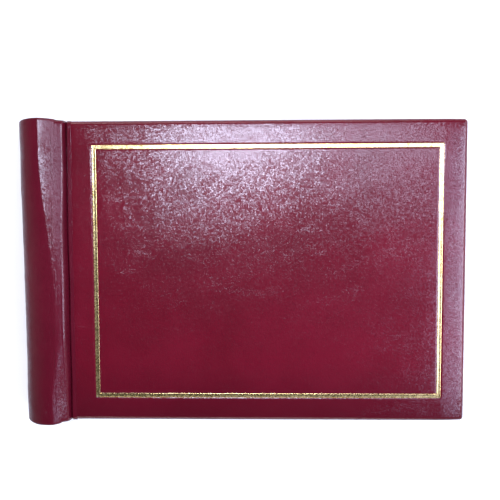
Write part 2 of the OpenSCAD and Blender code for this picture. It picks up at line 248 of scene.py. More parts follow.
def buildGrainGroup():
    # leather grain: Voronoi cells are polished plates, each a plane leaning its own random way (its
    # height is the dot product of the cell's random lean and the distance from its middle), with
    # narrow pits where the distance to the cell's edge is small, and a few long wrinkles, which are
    # thin bands round the middle value of a stretched noise
    shape = grainShape
    group, given, out = newGroup(
        "leatherGrain",
        [("Point", "NodeSocketVector", None), ("Cell Size", "NodeSocketFloat", 1.0),
         ("Facet Depth", "NodeSocketFloat", 0.4), ("Wrinkle Depth", "NodeSocketFloat", 0.5)],
        [("Height", "NodeSocketFloat"), ("Pits", "NodeSocketFloat")],
    )
    scaled = pointInUnits(group, given.outputs["Point"], given.outputs["Cell Size"])
    bend = group.nodes.new("ShaderNodeTexNoise")
    bend.inputs["Scale"].default_value = shape["bendScale"]
    bend.inputs["Detail"].default_value = shape["bendDetail"]
    link(group, scaled, bend.inputs["Vector"])
    warped = vectorNode(group, "ADD", bend.outputs["Color"], scaled)

    def cellTexture(feature):
        cells = group.nodes.new("ShaderNodeTexVoronoi")
        cells.feature = feature
        cells.inputs["Scale"].default_value = shape["cellScale"]
        link(group, warped, cells.inputs["Vector"])
        return cells

    pits = rangeNode(group, cellTexture("DISTANCE_TO_EDGE").outputs["Distance"], 0.0, shape["pitWidth"])
    plates = cellTexture("F1")
    away = vectorNode(group, "SUBTRACT", warped, plates.outputs["Position"])
    lean = vectorNode(group, "SUBTRACT", plates.outputs["Color"], (0.5, 0.5, 0.5))
    tilt = vectorNode(group, "DOT_PRODUCT", away, lean)
    fine = noiseNode(group, warped, shape["fineScale"], shape["fineDetail"], shape["fineRough"])
    fine = mathNode(group, "MULTIPLY", fine, shape["fineHeight"])
    facet = mathNode(group, "MULTIPLY", mathNode(group, "ADD", tilt, fine), given.outputs["Facet Depth"])
    along = turnedPoint(group, scaled, shape["wrinkleTurn"], shape["wrinkleStretch"])
    hair = noiseNode(group, along, shape["wrinkleScale"], shape["wrinkleDetail"], shape["wrinkleRough"],
                     shape["wrinkleTwist"])
    ridge = mathNode(group, "ABSOLUTE", mathNode(group, "SUBTRACT", hair, 0.5))
    line = rangeNode(group, ridge, 0.0, shape["wrinkleWidth"], 1.0, 0.0)
    patch = rangeNode(group, noiseNode(group, along, shape["patchScale"], shape["patchDetail"]),
                      shape["patchLow"], shape["patchHigh"])
    wrinkles = mathNode(group, "MULTIPLY", line, patch)
    dip = mathNode(group, "MULTIPLY", wrinkles, given.outputs["Wrinkle Depth"])
    base = mathNode(group, "SUBTRACT", mathNode(group, "MULTIPLY", pits, shape["plateStep"]), facet)
    link(group, mathNode(group, "SUBTRACT", base, dip), out.inputs["Height"])
    link(group, pits, out.inputs["Pits"])
    return group


fibreShape = {"shadeScale": 0.12, "shadeDetail": 3.0, "threadScale": 0.9, "threadDetail": 5.0,
              "threadRough": 0.7, "threadTwist": 0.6}


def buildFibreGroup():
    # paper and card: a mottled shade and a fine fibre height
    shape = fibreShape
    group, given, out = newGroup(
        "paperFibre",
        [("Point", "NodeSocketVector", None), ("Fibre Size", "NodeSocketFloat", 1.0)],
        [("Shade", "NodeSocketFloat"), ("Height", "NodeSocketFloat")],
    )
    scaled = pointInUnits(group, given.outputs["Point"], given.outputs["Fibre Size"])
    link(group, noiseNode(group, scaled, shape["shadeScale"], shape["shadeDetail"]), out.inputs["Shade"])
    thread = noiseNode(group, scaled, shape["threadScale"], shape["threadDetail"],
                       shape["threadRough"], shape["threadTwist"])
    link(group, thread, out.inputs["Height"])
    return group


grainGroup = buildGrainGroup()
fibreGroup = buildFibreGroup()


def bumpInto(tree, shader, height, strength, distance):
    bump = tree.nodes.new("ShaderNodeBump")
    bump.inputs["Strength"].default_value = strength
    bump.inputs["Distance"].default_value = distance
    link(tree, height, bump.inputs["Height"])
    link(tree, bump.outputs["Normal"], shader.inputs["Normal"])
    return bump.outputs["Normal"]


noiseSpan = (0.3, 0.7)  # most of a noise's values lie between these


leatherLook = {
    "colour": (0.160, 0.0040, 0.0160),
    "darkColour": (0.118, 0.0020, 0.0100),  # the darker of the two tones that cloud the leather
    "paintedShadeColour": (0.060, 0.0014, 0.0070),  # painted shade, put in the pits of the grain and near the tail edge
    "cloudScale": 22.0,
    "cloudDetail": 3.0,
    "cloudLow": 0.35,
    "cloudHigh": 0.68,
    # painted shade in the grain's pits: how far they darken towards the shade colour
    "pitShade": 0.6,
    "tailShade": 0.75,  # painted shade: how much darker the leather is painted near its tail edge, where less light falls
    "tailEdge": -0.082,  # where that shade is full, m
    "tailFade": -0.048,  # where it has gone, m
    "cellSize": 0.62,  # mm
    "facetDepth": 1.15,
    "wrinkleDepth": 0.3,
    "bumpDistance": 0.000042,
    "roughLow": 0.2,
    "roughHigh": 0.4,
    "gloss": 0.92,  # coat on the plates
    "glossLow": 0.1,  # how far from a pit the gloss starts and is full
    "glossHigh": 0.9,
    "specular": 0.05,
    "coatRough": 0.19,
    "coatIor": 1.65,
}
# the spine's leather: its own tones, less gloss and a weaker painted shade at the tail
spineLook = dict(leatherLook, colour=(0.125, 0.0070, 0.0180), darkColour=(0.098, 0.0042, 0.0130),
                 gloss=0.52, tailShade=0.3)


def leatherMaterial(name, look):
    made, tree, shader = material(name, Specular_IOR_Level=look["specular"],
                                  Coat_Roughness=look["coatRough"], Coat_IOR=look["coatIor"])
    point = objectPoint(tree)
    grain = placeGroup(tree, grainGroup, Point=point, Cell_Size=look["cellSize"],
                       Facet_Depth=look["facetDepth"], Wrinkle_Depth=look["wrinkleDepth"])
    pits = grain.outputs["Pits"]
    cloud = rangeNode(tree, noiseNode(tree, point, look["cloudScale"], look["cloudDetail"]),
                      look["cloudLow"], look["cloudHigh"])
    tone = mixColour(tree, cloud, look["darkColour"], look["colour"])
    # painted shade: the pits of the grain are darkened towards the shade colour
    paintedPitShade = rangeNode(tree, pits, 0.0, 1.0, look["pitShade"], 0.0)
    tone = mixColour(tree, paintedPitShade, tone, look["paintedShadeColour"])
    # painted shade: the leather darkens towards its tail edge, where less light falls
    split = tree.nodes.new("ShaderNodeSeparateXYZ")
    link(tree, point, split.inputs[0])
    low = rangeNode(tree, split.outputs["Y"], look["tailEdge"], look["tailFade"], look["tailShade"], 0.0)
    link(tree, mixColour(tree, low, tone, look["paintedShadeColour"]), shader.inputs["Base Color"])
    link(tree, rangeNode(tree, pits, 0.0, 1.0, look["roughHigh"], look["roughLow"]),
         shader.inputs["Roughness"])
    # the gloss lies on the plates and leaves the pits dull
    link(tree, rangeNode(tree, pits, look["glossLow"], look["glossHigh"], 0.0, look["gloss"]),
         shader.inputs["Coat Weight"])
    normal = bumpInto(tree, shader, grain.outputs["Height"], 1.0, look["bumpDistance"])
    link(tree, normal, shader.inputs["Coat Normal"])
    return made


foilLook = {
    "darkGold": (0.76, 0.54, 0.18),
    "brightGold": (0.97, 0.79, 0.38),
    "wornGold": (0.46, 0.30, 0.09),
    "speckScale": 900.0,
    "speckDetail": 4.0,
    "speckRough": 0.7,
    "wearScale": 160.0,
    "wearDetail": 4.0,
    "wearRough": 0.65,
    "wearLow": 0.30,  # worn below this value of the noise, whole above the next
    "wearHigh": 0.42,
    "roughLow": 0.20,
    "roughHigh": 0.34,
    "bump": 0.25,
    "bumpDistance": 0.00005,
}


def foilMaterial(look):
    made, tree, shader = material("goldFoil", Metallic=1.0)
    point = objectPoint(tree)
    speck = noiseNode(tree, point, look["speckScale"], look["speckDetail"], look["speckRough"])
    wear = rangeNode(tree, noiseNode(tree, point, look["wearScale"], look["wearDetail"], look["wearRough"]),
                     look["wearLow"], look["wearHigh"])
    tone = mixColour(tree, rangeNode(tree, speck, *noiseSpan), look["darkGold"], look["brightGold"])
    link(tree, mixColour(tree, wear, look["wornGold"], tone), shader.inputs["Base Color"])
    link(tree, rangeNode(tree, speck, *noiseSpan, look["roughLow"], look["roughHigh"]),
         shader.inputs["Roughness"])
    bumpInto(tree, shader, speck, look["bump"], look["bumpDistance"])
    return made


plainPaper = {"rough": 0.75, "fibre": 1.0, "bump": 0.15, "alpha": 1.0, "specular": 0.3,
              "bumpDistance": 0.0001}
paperLooks = {
    "liningPaper": dict(plainPaper, light=(0.115, 0.012, 0.024), dark=(0.085, 0.008, 0.018),
                        rough=0.55, fibre=0.7, bump=0.3),
    "greyBoard": dict(plainPaper, light=(0.34, 0.30, 0.25), dark=(0.26, 0.23, 0.19)),
    "paddingFoam": dict(plainPaper, light=(0.72, 0.66, 0.54), dark=(0.62, 0.56, 0.45),
                        rough=0.95, fibre=2.0, bump=0.8),
    "blackStock": dict(plainPaper, light=(0.016, 0.016, 0.018), dark=(0.011, 0.011, 0.012),
                       rough=0.62, fibre=0.6, bump=0.25),
    "glassineTissue": dict(plainPaper, light=(0.86, 0.85, 0.80), dark=(0.78, 0.77, 0.71),
                           rough=0.35, fibre=1.5, bump=0.35, alpha=0.82),
    "creamPage": dict(plainPaper, light=(0.82, 0.78, 0.66), dark=(0.78, 0.73, 0.61)),
}


def paperMaterial(name):
    look = paperLooks[name]
    made, tree, shader = material(name, Roughness=look["rough"], Alpha=look["alpha"],
                                  Specular_IOR_Level=look["specular"])
    fibres = placeGroup(tree, fibreGroup, Point=objectPoint(tree), Fibre_Size=look["fibre"])
    shade = rangeNode(tree, fibres.outputs["Shade"], *noiseSpan)
    link(tree, mixColour(tree, shade, look["dark"], look["light"]), shader.inputs["Base Color"])
    bumpInto(tree, shader, fibres.outputs["Height"], look["bump"], look["bumpDistance"])
    return made


filmLook = {"dull": (0.80, 0.84, 0.88), "clear": (0.92, 0.94, 0.96), "rough": 0.08, "ior": 1.45,
            "alpha": 0.16, "coat": 0.5, "rippleScale": 60.0, "rippleDetail": 2.0, "bump": 0.12,
            "bumpDistance": 0.0006}


def filmMaterial(look):
    made, tree, shader = material("clearFilm", Roughness=look["rough"], IOR=look["ior"],
                                  Alpha=look["alpha"], Coat_Weight=look["coat"])
    ripple = noiseNode(tree, objectPoint(tree), look["rippleScale"], look["rippleDetail"])
    link(tree, mixColour(tree, ripple, look["dull"], look["clear"]), shader.inputs["Base Color"])
    bumpInto(tree, shader, ripple, look["bump"], look["bumpDistance"])
    return made


steelLook = {"dark": (0.62, 0.62, 0.63), "light": (0.80, 0.80, 0.81), "brushStretch": (1, 0.06, 1),
             "brushScale": 2600.0, "brushDetail": 3.0, "roughLow": 0.16, "roughHigh": 0.28,
             "bump": 0.05, "bumpDistance": 0.00004}


def steelMaterial(look):
    made, tree, shader = material("nickelSteel", Metallic=1.0)
    point = turnedPoint(tree, objectPoint(tree), 0, look["brushStretch"])
    brush = noiseNode(tree, point, look["brushScale"], look["brushDetail"])
    link(tree, mixColour(tree, brush, look["dark"], look["light"]), shader.inputs["Base Color"])
    link(tree, rangeNode(tree, brush, *noiseSpan, look["roughLow"], look["roughHigh"]),
         shader.inputs["Roughness"])
    bumpInto(tree, shader, brush, look["bump"], look["bumpDistance"])
    return made


finishes = {
    "leather": leatherMaterial("burgundyLeather", leatherLook),
    "spineLeather": leatherMaterial("spineLeather", spineLook),
    "foil": foilMaterial(foilLook),
    "lining": paperMaterial("liningPaper"),
    "card": paperMaterial("greyBoard"),
    "foam": paperMaterial("paddingFoam"),
    "stock": paperMaterial("blackStock"),
    "film": filmMaterial(filmLook),
    "tissue": paperMaterial("glassineTissue"),
    "page": paperMaterial("creamPage"),
    "steel": steelMaterial(steelLook),
}
slotFinish = {"wrap": "leather", "foam": "foam", "board": "card", "lining": "lining", "foil": "foil",
              "steel": "steel", "stock": "stock", "film": "film", "tissue": "tissue", "page": "page"}
slotOf = {row["node"]: row["material_slot"] for row in frame["record"]["subparts"]}
for node, obj in frame["nodes"].items():
    finish = finishes[slotFinish[slotOf[node]]]
    if not obj.material_slots:
        obj.data.materials.append(finish)
    for entry in obj.material_slots:
        entry.material = finish
print("finishes made")


def finishPiece(obj, finish, slot, body, *nodes):
    obj.data.materials.clear()
    obj.data.materials.append(finishes[finish])
    if nodes:
        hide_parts(*nodes)
    if body:
        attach(obj, body)
    return obj


coverPad = {  # mm, as in all the shapes below
    "padR": 2.6,  # how far in from the edge the padding rounds off
    "padDepth": 3.0,  # how far down the rounded edge reaches
    "roundSteps": 12,
    "cornerR": 2.2,
    "crown": 0.35,
    "crownReach": 22,
    "foreSlope": 1.1,  # how far the margin falls towards the fore-edge
    "forePower": 1.6,
    "endSlope": 0.12,  # and towards the head and the tail
    "endPower": 1.8,
    "unevenness": 0.08,
    "waveLength": 46,
    "waveReach": 9,
    "fineUnevenness": 0.05,
    "fineLength": 13,
    "fineReach": 6,
    "step": 2.6,
    "turnIn": 14.0,  # how far the leather is turned in under the board
    "wallRings": [(0.12, 0.35), (0.3, 0.7), (0.7, 0.93), (1.2, 1.0), (4.0, 1.0)],  # inset, share of wall
    "grooveDepth": 0.22,
    "grooveSoft": 0.7,
    "grooveLines": (-2.1, -1.75, -1.4, -1.1, -0.7, 0.0, 0.7, 1.1, 1.4, 1.75, 2.1),
    "grooveClear": 2.4,
    "frontSeed": 11,
    "backSeed": 37,
}
borderBox = [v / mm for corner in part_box("gold_border") for v in corner]
border = {"x0": borderBox[0], "x1": borderBox[3], "y1": borderBox[4], "top": borderBox[2], "width": 2.2}
foreEdge, headEdge = [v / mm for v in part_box("front_leather")[1][:2]]


def bandMask(x, y, spread):
    # 1 on the border's line and 0 away from it, with a soft edge as wide as spread: the distance to
    # the rectangle down the line's middle, less half the line's width
    cx = (border["x0"] + border["x1"]) / 2
    halfX = (border["x1"] - border["x0"]) / 2 - border["width"] / 2
    halfY = border["y1"] - border["width"] / 2
    qx = np.abs(x - cx) - halfX
    qy = np.abs(y) - halfY
    outside = np.hypot(np.maximum(qx, 0), np.maximum(qy, 0)) + np.minimum(np.maximum(qx, qy), 0)
    return 1 - smoothStep((np.abs(outside) - border["width"] / 2) / spread)


def coverTop(x, y, e, seed, grooved):
    # height of a cover's skin above its flat outer face, at e from the rim: a low crown, margins that
    # fall as a power of the way to the edge, soft unevenness, less the pressed line
    pad = coverPad
    z = pad["crown"] * smoothStep(e / pad["crownReach"])
    fore = np.clip((x - border["x1"]) / (foreEdge - border["x1"]), 0, 1)
    ends = np.clip((np.abs(y) - border["y1"]) / (headEdge - border["y1"]), 0, 1)
    z = z - pad["foreSlope"] * fore ** pad["forePower"] - pad["endSlope"] * ends ** pad["endPower"]
    z = z + pad["unevenness"] * waves(x, y, seed, pad["waveLength"]) * smoothStep(e / pad["waveReach"])
    fine = waves(x, y, seed + 5, pad["fineLength"]) * smoothStep(e / pad["fineReach"])
    z = z + pad["fineUnevenness"] * fine
    if grooved:
        z = z - pad["grooveDepth"] * bandMask(x, y, pad["grooveSoft"])
    return z


def ringMap(px, py, halfX, halfY, e, cornerR):
    # a point on a rectangle's rim moves onto the rim of the same rectangle, inset by e and with its
    # corners rounded; in a corner the way along the rim becomes the angle of the arc
    x = px * (halfX - e) / halfX
    y = py * (halfY - e) / halfY
    r = np.maximum(cornerR - e, 0.0) + 1e-9
    cx = halfX - e - r
    cy = halfY - e - r
    u = np.abs(x) - cx
    v = np.abs(y) - cy
    corner = (u > 0) & (v > 0)
    ratio = np.where(u > v, v / np.maximum(u, 1e-9), u / np.maximum(v, 1e-9))
    angle = np.where(u > v, ratio * math.pi / 4, math.pi / 2 - ratio * math.pi / 4)
    reach = np.maximum(u, v)
    nx = np.where(corner, cx + reach * np.cos(angle), np.abs(x))
    ny = np.where(corner, cy + reach * np.sin(angle), np.abs(y))
    return np.sign(x) * nx, np.sign(y) * ny


def edgeInsets(pad):
    # how far in the rounded edge's rows lie: even steps of angle round a quarter of an ellipse
    a = np.linspace(0, math.pi / 2, pad["roundSteps"])
    return pad["padR"] * (1 - np.cos(a))


def axisStations(half, pad, marks):
    # grid positions across a cover: close together at both rims, even between them, and with extra
    # lines in place of those beside each mark, where the pressed line runs
    inner = half - pad["padR"]
    count = int(2 * inner / pad["step"])
    middle = np.linspace(-inner, inner, count)[1:-1]
    low = edgeInsets(pad) - half
    places = np.concatenate([low, middle, -low[::-1]])
    for mark in marks:
        places = places[np.abs(places - mark) > pad["grooveClear"]]
        places = np.concatenate([places, mark + np.array(pad["grooveLines"])])
    return np.sort(places)


def coverSkin(name, node, facing, seed, grooved):
    # a cover's wrap: over a grid of x and y the height from coverTop, less a quarter of an ellipse
    # round the rim; then rings down the wall and in under the board, closed by a flat fan. facing is
    # 1 for the front cover, whose padding looks up, and -1 for the back cover
    pad = coverPad
    lo, hi = [np.array(c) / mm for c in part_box(node)]
    centre = (lo + hi) / 2
    halfX, halfY = (hi - lo)[:2] / 2
    outer = hi[2] if facing > 0 else lo[2]
    inner = lo[2] if facing > 0 else hi[2]
    marksX, marksY = [], []
    if grooved:
        w = border["width"] / 2
        marksX = [border["x0"] + w - centre[0], border["x1"] - w - centre[0]]
        marksY = [-border["y1"] + w, border["y1"] - w]
    xs = axisStations(halfX, pad, marksX)
    ys = axisStations(halfY, pad, marksY)
    gx, gy = np.meshgrid(xs, ys)
    e = np.minimum(halfX - np.abs(gx), halfY - np.abs(gy))
    nearRim = e < pad["cornerR"] + 1
    spanX, spanY = np.maximum(halfX - e, 1e-6) / halfX, np.maximum(halfY - e, 1e-6) / halfY
    rx, ry = ringMap(np.clip(gx / spanX, -halfX, halfX), np.clip(gy / spanY, -halfY, halfY),
                     halfX, halfY, e, pad["cornerR"])
    px = np.where(nearRim, rx, gx)
    py = np.where(nearRim, ry, gy)
    t = np.clip(1 - e / pad["padR"], 0, 1)
    drop = pad["padDepth"] * (1 - np.sqrt(np.maximum(1 - t * t, 0)))
    height = coverTop(px + centre[0], py, e, seed, grooved)
    if facing < 0:
        height = height - np.max(height)  # the back's highest point touches what it lies on
    z = outer + facing * (height - drop)
    top = np.stack([px + centre[0], py + centre[1], z], -1).reshape(-1, 3)
    rows, cols = gx.shape
    faces = [gridFaces(rows, cols)]
    index = np.arange(rows * cols).reshape(rows, cols)
    loop = np.concatenate([index[0, :-1], index[:-1, -1], index[-1, :0:-1], index[:0:-1, 0]])
    loopX, loopY = gx.ravel()[loop], gy.ravel()[loop]
    rimZ = outer - facing * pad["padDepth"]
    below = pad["wallRings"] + [(pad["turnIn"], 1.0), (pad["turnIn"], 0.55)]
    rings, start = [], len(top)
    for inset, share in below:
        ringX, ringY = ringMap(loopX, loopY, halfX, halfY, inset, pad["cornerR"])
        ringZ = np.full(len(loop), rimZ + (inner - rimZ) * share)
        rings.append(np.stack([ringX + centre[0], ringY + centre[1], ringZ], -1))
    count = len(loop)
    here = np.arange(count)
    nextOne = (here + 1) % count
    faces.append(np.stack([loop, np.roll(loop, -1), start + nextOne, start + here], -1)[:, ::-1])
    faces.append(gridFaces(len(below), count, True, start)[:, ::-1])
    middle = np.array([[centre[0], centre[1], rings[-1][0, 2]]])
    verts = np.concatenate([top] + rings + [middle])
    last = start + (len(below) - 1) * count
    fan = np.stack([last + here, last + nextOne, np.full(count, len(verts) - 1)], -1)
    faces.append(fan[:, ::-1])
    if facing < 0:
        faces = [f[:, ::-1] for f in faces]
    return meshObject(name, verts * mm, faces)


frontSkin = coverSkin("frontCoverSkin", "front_leather", 1, coverPad["frontSeed"], True)
backSkin = coverSkin("backCoverSkin", "back_leather", -1, coverPad["backSeed"], False)
for skin, body, node, pad in ((frontSkin, "front_cover", "front_leather", "front_padding"),
                              (backSkin, "back_cover", "back_leather", "back_padding")):
    finishPiece(skin, "leather", "wrap", body, node, pad)
print("covers padded")


foilBand = {
    "lift": 0.045,
    "ridge": 0.06,
    "perSide": 90,
    "panelReach": 12,  # from the line's outer edge to where the cover's edge counts as near
    "across": (-0.5, -0.47, -0.40, -0.30, -0.15, 0.0, 0.15, 0.30, 0.40, 0.47, 0.5),  # shares of the width
    "raised": (0.0, 0.7, 1.0, 0.55, 0.1, 0.0, 0.1, 0.55, 1.0, 0.7, 0.0),  # shares of the ridge
}


def goldLine():
    # a flat band swept round the rectangle, its two edges raised and its middle pressed in
    w = border["width"]
    across = np.array(foilBand["across"]) * w
    lift = foilBand["ridge"] * np.array(foilBand["raised"])
    cx = (border["x0"] + border["x1"]) / 2
    halfX = (border["x1"] - border["x0"]) / 2 - w / 2
    halfY = border["y1"] - w / 2
    t = np.linspace(-1, 1, foilBand["perSide"], endpoint=False)
    pathX = np.concatenate([t * halfX, np.full(len(t), halfX), -t * halfX, np.full(len(t), -halfX)])
    pathY = np.concatenate([np.full(len(t), -halfY), t * halfY, np.full(len(t), halfY), -t * halfY])
    verts = []
    for offset, raised in zip(across, lift):
        x = cx + pathX * (halfX + offset) / halfX
        y = pathY * (halfY + offset) / halfY
        reach = w / 2 + foilBand["panelReach"]
        inset = np.minimum(halfX + reach - np.abs(x - cx), halfY + reach - np.abs(y))
        height = coverTop(x, y, inset, coverPad["frontSeed"], True)
        z = border["top"] + height + foilBand["lift"] + raised
        verts.append(np.stack([x, y, z], -1))
    verts = np.concatenate(verts)
    return meshObject("goldLine", verts * mm, [gridFaces(len(across), 4 * len(t), True)[:, ::-1]])


finishPiece(goldLine(), "foil", "foil", "front_cover", "gold_border")
print("gold line laid")


spineShape = {
    "headCrest": 13.3,  # where the roll is highest, from its outer face
    "tailCrest": 20.3,
    "footCrest": 17.4,  # at the tail's own end, where the roll is pinched
    "headDrop": 3.1,  # how far its top slopes down to the shoulder
    "tailDrop": 0.6,
    "footDrop": 2.8,
    "headFrom": 0.42,  # the head's sizes come in over this share of the length
    "headSpan": 0.48,
    "footFrom": 0.30,
    "footSpan": 0.24,
    "slopePower": 1.25,
    "slopeSpread": 1.2,
    "shoulder": 22.3,
    "lip": 21.2,  # where it turns down, to leave the opened cover room
    "headBulge": 0.5,  # how far the head's left side stands out
    "tailDip": 0.5,  # how far the tail's left side draws in
    "sideFrom": 4,  # both start at this height
    "sideSpan": 8,
    "endRound": 1.0,
    "unevenness": 0.14,
    "waveLength": 34,
    "fineUnevenness": 0.05,
    "fineLength": 9,
    "fineStretch": 1.4,
    "calmFoot": 5,  # no unevenness below this height
    "calmFootSpan": 8,
    "calmEnds": 9,  # nor at the ends and the lip
    "calmLip": 5,
    "seed": 71,
    "narrowest": 0.47,  # most that each side of the wall draws in at the ends, as a share of the wall
    "rows": 150,
    "flatSteps": 10,
    "lowSteps": 22,
    "sideSteps": 5,
    "riseSteps": 26,
    "slopeSteps": 30,
    "fallSteps": 10,
    "endSteps": 7,
}
spineLow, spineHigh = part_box("spine_leather")
originX = spineLow[0] / mm
roll = {
    "r": 12.5,  # outer radius
    "inner": 10.4,
    "top": spineHigh[2] / mm,
    "halfY": spineHigh[1] / mm,
    "boardU": 7.6,  # the inner face of the wrap lies on the spine board here
    "tailU": spineHigh[0] / mm - originX,
    "tailWall": 0.8,  # thickness of the flat tail
    "floorSpan": 5,  # over which the channel's floor passes into the tail
    "lipZ": 22.9,
}


def between(share, name):
    # a size of the spine at a place along it, where share is 0 at the tail and 1 at the head; it
    # changes in the head's half, and again towards the foot of the tail
    head = smoothStep((share - spineShape["headFrom"]) / spineShape["headSpan"])
    foot = smoothStep((spineShape["footFrom"] - share) / spineShape["footSpan"])
    size = spineShape["tail" + name] * (1 - head) + spineShape["head" + name] * head
    return size * (1 - foot) + spineShape["foot" + name] * foot


def rollTop(u, share):
    # height of the roll's sloping top: it falls from the crest as a power of the distance does
    crest = between(share, "Crest")
    t = np.maximum(u - crest, 0) / (spineShape["shoulder"] - crest)
    return roll["top"] - between(share, "Drop") * t ** spineShape["slopePower"]


def rollOutline(share):
    # the roll's outside from its flat tail to its lip, one row for each share: a line, a quarter
    # circle, a line, a quarter ellipse up to the crest, the sloping top and a quarter ellipse down
    def everyRow(values):
        return np.tile(values, (len(share), 1))

    shape = spineShape
    r, top, lip = roll["r"], roll["top"], shape["lip"]
    crest = between(share, "Crest")
    flat = np.linspace(roll["tailU"], r, shape["flatSteps"], endpoint=False)
    low = np.linspace(0, math.pi / 2, shape["lowSteps"], endpoint=False)
    side = np.linspace(r, top - r, shape["sideSteps"], endpoint=False)
    rise = np.linspace(0, math.pi / 2, shape["riseSteps"], endpoint=False)
    spread = np.linspace(0, 1, shape["slopeSteps"], endpoint=False) ** shape["slopeSpread"]
    slopeU = crest + (lip - crest) * spread
    fall = np.linspace(0, math.pi / 2, shape["fallSteps"])
    edgeZ = rollTop(lip + 0 * share, share)
    u = [everyRow(flat), everyRow(r * (1 - np.sin(low))), everyRow(0 * side), crest * (1 - np.cos(rise)),
         slopeU, everyRow(lip + np.sin(fall))]
    z = [everyRow(0 * flat), everyRow(r * (1 - np.cos(low))), everyRow(side),
         everyRow(top - r * (1 - np.sin(rise))), rollTop(slopeU, share),
         edgeZ - (edgeZ - roll["lipZ"]) * (1 - np.cos(fall))]
    return np.concatenate(u, 1), np.concatenate(z, 1)


def channelOutline(u, z):
    # the matching inside: each point drawn to the inner radius about the nearer centre, and no
    # further left than the board's face; along the flat tail it lies the tail's thickness above
    r, span = roll["r"], roll["floorSpan"]
    centre = np.clip(z, r, roll["top"] - r)
    away = np.maximum(np.hypot(u - r, z - centre), 1e-9)
    innerU = r + (u - r) * roll["inner"] / away
    innerZ = centre + (z - centre) * roll["inner"] / away
    floor = (u > r - span) & (z < r)
    share = smoothStep((u - r + span) / span)
    innerU = np.where(floor, innerU * (1 - share) + u * share, innerU)
    innerZ = np.where(floor, innerZ * (1 - share) + roll["tailWall"] * share, innerZ)
    return np.maximum(innerU, roll["boardU"]), innerZ


def spineSkin():
    # the outlines carried from tail to head; within endRound of both ends the wall narrows as a
    # quarter circle does, and the ends bow out as a disc does
    shape = spineShape
    r, halfY = shape["endRound"], roll["halfY"]
    near = r * (1 - np.cos(np.linspace(0, math.pi / 2, shape["endSteps"])))[:-1]
    ys = np.concatenate([near - halfY, np.linspace(r - halfY, halfY - r, shape["rows"]),
                         (halfY - near)[::-1]])[:, None]
    share = (ys / halfY + 1) / 2
    u, z = rollOutline(share)
    innerU, innerZ = channelOutline(u, z)
    left = smoothStep((roll["r"] - u) / roll["r"]) * smoothStep((z - shape["sideFrom"]) / shape["sideSpan"])
    u = u + left * (shape["tailDip"] * (1 - share) - shape["headBulge"] * share)
    stepU, stepZ = [np.diff(v, axis=1, prepend=v[:, :1]) for v in (u, z)]
    length = np.cumsum(np.hypot(stepU, stepZ), 1)
    swell = shape["unevenness"] * waves(length, ys + 0 * u, shape["seed"], shape["waveLength"])
    fine = waves(length, ys * shape["fineStretch"] + 0 * u, shape["seed"] + 1, shape["fineLength"])
    swell = swell + shape["fineUnevenness"] * fine
    swell = swell * smoothStep((z - shape["calmFoot"]) / shape["calmFootSpan"])
    swell = swell * smoothStep((halfY - np.abs(ys)) / shape["calmEnds"])
    swell = swell * smoothStep((length[:, -1:] - length) / shape["calmLip"])
    dist = np.maximum(r - np.maximum(halfY - np.abs(ys), 0), 0)
    narrow = r - np.sqrt(np.maximum(r * r - dist * dist, 0))
    acrossU, acrossZ = innerU - u, innerZ - z
    wall = np.maximum(np.hypot(acrossU, acrossZ), 1e-9)
    pull = np.minimum(narrow, wall * shape["narrowest"]) / wall
    outU, outZ = u + acrossU * (pull - swell / wall), z + acrossZ * (pull - swell / wall)
    inU, inZ = innerU - acrossU * pull, innerZ - acrossZ * pull
    loopU = np.concatenate([outU, inU[:, ::-1]], 1)
    loopZ = np.concatenate([outZ, inZ[:, ::-1]], 1)
    bow = np.sqrt(1 - ((loopU - roll["r"]) / halfY) ** 2)
    rings = np.stack([loopU + originX, ys * bow, loopZ], -1)
    rows, cols = loopU.shape
    index = np.arange(cols)
    cap = np.stack([index[:cols // 2 - 1], index[1:cols // 2], index[::-1][1:cols // 2],
                    index[::-1][:cols // 2 - 1]], -1)
    faces = [gridFaces(rows, cols, True)[:, ::-1], cap, (cap + (rows - 1) * cols)[:, ::-1]]
    return meshObject("spineSkin", rings.reshape(-1, 3) * mm, faces)


spinePiece = finishPiece(spineSkin(), "spineLeather", "wrap", "spine", "spine_leather", "spine_padding")
print("spine rolled")


creaseShape = {
    "start": 19.5,  # distances from the spine's outer face
    "bendStart": 23.6,
    "bendEnd": 27.2,
    "end": 29.0,
    "coverStart": 26.0,
    "valley": 25.8,
    "valleyWidth": 0.48,
    "valleyDepth": 2.4,
    "depthChange": 0.15,
    "depthLength": 40,
    "wander": 0.18,  # how far the valley strays from a straight line
    "wanderLength": 60,
    "blendAhead": 0.6,  # the roll's slope passes into the cover's top before and over the valley
    "blendSpan": 0.9,
    "ridgeTail": 24.2,  # the thin ridge beside the valley
    "ridgeHead": 24.9,
    "ridgeHeight": 0.14,
    "ridgeWidth": 0.35,
    "headFrom": 0.5,
    "headSpan": 0.4,
    "startFade": 1.2,
    "endFade": 3.0,
    "lift": 0.02,  # over what it lies on, and how far its edges sink into it
    "sink": 0.03,
    "wall": 0.6,
    "thinning": 0.6,  # share that the wall loses past the roll's shoulder
    "thinFrom": 22.0,
    "thinSpan": 1.5,
    "endGap": 0.9,  # the strips are shorter than the spine by this at both ends
    "endDip": 0.9,
    "endReach": 1.4,
    "rows": 150,
    "startSteps": 14,
    "bendSteps": 30,
    "endSteps": 8,
    "seed": 51,
    "backStart": 22.0,
    "backEnd": 32.5,
    "backRows": 60,
    "backSteps": 36,
    "backLift": 0.06,
    "groove": 0.55,
    "grooveAt": 27.4,
    "grooveHalf": 2.2,
}


